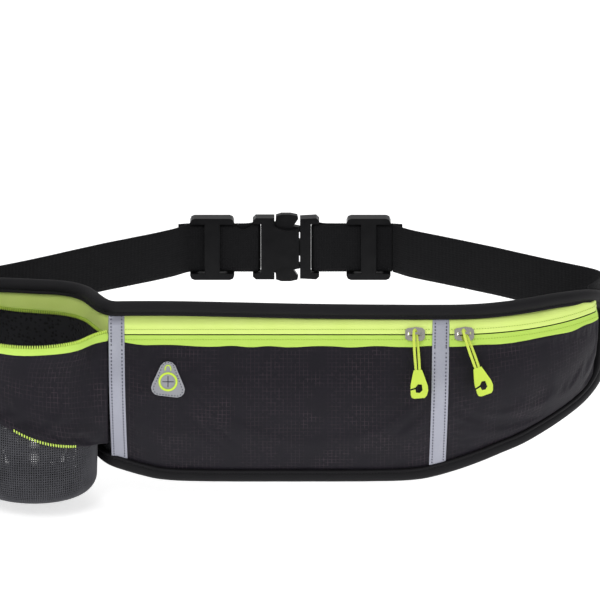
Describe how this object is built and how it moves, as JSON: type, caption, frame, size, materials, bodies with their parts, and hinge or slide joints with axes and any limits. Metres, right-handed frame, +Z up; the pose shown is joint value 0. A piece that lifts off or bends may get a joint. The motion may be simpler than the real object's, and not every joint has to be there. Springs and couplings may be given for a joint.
{
  "type": "waist pack",
  "caption": "Curved waist pack with a zipped main pocket, a zipped side pocket, an open bottle holster with a mesh pouch, and an adjustable quick-release belt.",
  "frame": {"origin": "middle of the waist opening, on the wearer's axis, at mid height of the belt", "axes": "+Z up as worn, +X along the front of the bag towards the side pocket, -Y out of the bag's front, +Y towards the buckle"},
  "size_m": [0.426, 0.2455, 0.1276],
  "materials": {
    "shell_fabric": "matte",
    "binding_fabric": "matte",
    "panel_fabric": "matte",
    "zip_fabric": "satin",
    "zip_coil": "satin",
    "reflective": "satin",
    "grey_rubber": "matte",
    "lime_rubber": "matte",
    "mesh": "matte",
    "webbing": "matte",
    "black_plastic": "satin",
    "slider_metal": "satin",
    "lime_cord": "matte",
    "lime_plastic": "satin"
  },
  "bodies": {
    "bag": {"back_panel": "panel_fabric", "bottom_binding": "binding_fabric", "buckle_socket": "black_plastic", "cable_port_membrane": "grey_rubber", "cable_port_patch": "grey_rubber", "cable_port_ring": "lime_rubber", "holster_band": "shell_fabric", "holster_lower_coil": "zip_coil", "holster_slider": "slider_metal", "holster_zip_coil_back": "zip_coil", "holster_zip_coil_front": "zip_coil", "holster_zip_tape_back": "zip_fabric", "holster_zip_tape_front": "zip_fabric", "left_end_wall": "panel_fabric", "main_front_panel": "shell_fabric", "main_zip_coil_lower": "zip_coil", "main_zip_coil_upper": "zip_coil", "main_zip_tape_lower": "zip_fabric", "main_zip_tape_upper": "zip_fabric", "mesh_pouch": "mesh", "pocket_divider": "panel_fabric", "reflective_strip_left": "reflective", "reflective_strip_right": "reflective", "side_front_panel": "shell_fabric", "side_zip_coil_lower": "zip_coil", "side_zip_coil_upper": "zip_coil", "side_zip_tape_lower": "zip_fabric", "side_zip_tape_upper": "zip_fabric", "top_binding": "binding_fabric", "webbing_left": "webbing", "webbing_right_span": "webbing"},
    "main_slider": {"main_slider": "slider_metal"},
    "main_pull": {"main_pull_cord": "lime_cord", "main_pull_tip": "lime_plastic"},
    "side_slider": {"side_slider": "slider_metal"},
    "side_pull": {"side_pull_cord": "lime_cord", "side_pull_tip": "lime_plastic"},
    "holster_pull": {"holster_pull_cord": "lime_cord", "holster_pull_tip": "lime_plastic"},
    "plug_half": {"buckle_plug": "black_plastic", "webbing_right_loop": "webbing"},
    "right_adjuster": {"right_adjuster": "black_plastic"},
    "left_adjuster": {"left_adjuster": "black_plastic"},
    "catch_upper": {"catch_arm_upper": "black_plastic"},
    "catch_lower": {"catch_arm_lower": "black_plastic"}
  },
  "joints": [
    {"name": "main_zip_slide", "type": "slide", "parent": "bag", "child": "main_slider", "axis": [1, 0, 0], "range_m": [-0.178, 0]},
    {"name": "main_pull_swing", "type": "hinge", "parent": "main_slider", "child": "main_pull", "pos_m": [0.08, -0.11576, 0.00732], "axis": [-1, 0, 0], "range_deg": [0, 140]},
    {"name": "side_zip_slide", "type": "hinge", "parent": "bag", "child": "side_slider", "pos_m": [0.1024, 0.006, 0.005], "axis": [0, 0, 1], "range_deg": [0, 43]},
    {"name": "side_pull_swing", "type": "hinge", "parent": "side_slider", "child": "side_pull", "pos_m": [0.11174, -0.1154, 0.00732], "axis": [-0.9971, -0.0767, 0], "range_deg": [0, 140]},
    {"name": "holster_pull_swing", "type": "hinge", "parent": "bag", "child": "holster_pull", "pos_m": [-0.2142, -0.051, 0.0092], "axis": [0, 1, 0], "range_deg": [0, 115]},
    {"name": "buckle_release", "type": "slide", "parent": "bag", "child": "plug_half", "axis": [1, 0, 0], "range_m": [0, 0.026], "deforming": ["webbing_right_span"]},
    {"name": "right_adjuster_slide", "type": "slide", "parent": "plug_half", "child": "right_adjuster", "axis": [1, 0, 0], "range_m": [-0.012, 0]},
    {"name": "left_adjuster_slide", "type": "slide", "parent": "bag", "child": "left_adjuster", "axis": [1, 0, 0], "range_m": [0, 0.009]},
    {"name": "catch_upper_squeeze", "type": "hinge", "parent": "plug_half", "child": "catch_upper", "pos_m": [0.009, 0.096, 0.0121], "axis": [0, 1, 0], "range_deg": [-6, 0], "stiffness_Nm_per_rad": 1.2},
    {"name": "catch_lower_squeeze", "type": "hinge", "parent": "plug_half", "child": "catch_lower", "pos_m": [0.009, 0.096, -0.0121], "axis": [0, 1, 0], "range_deg": [0, 6], "stiffness_Nm_per_rad": 1.2}
  ]
}
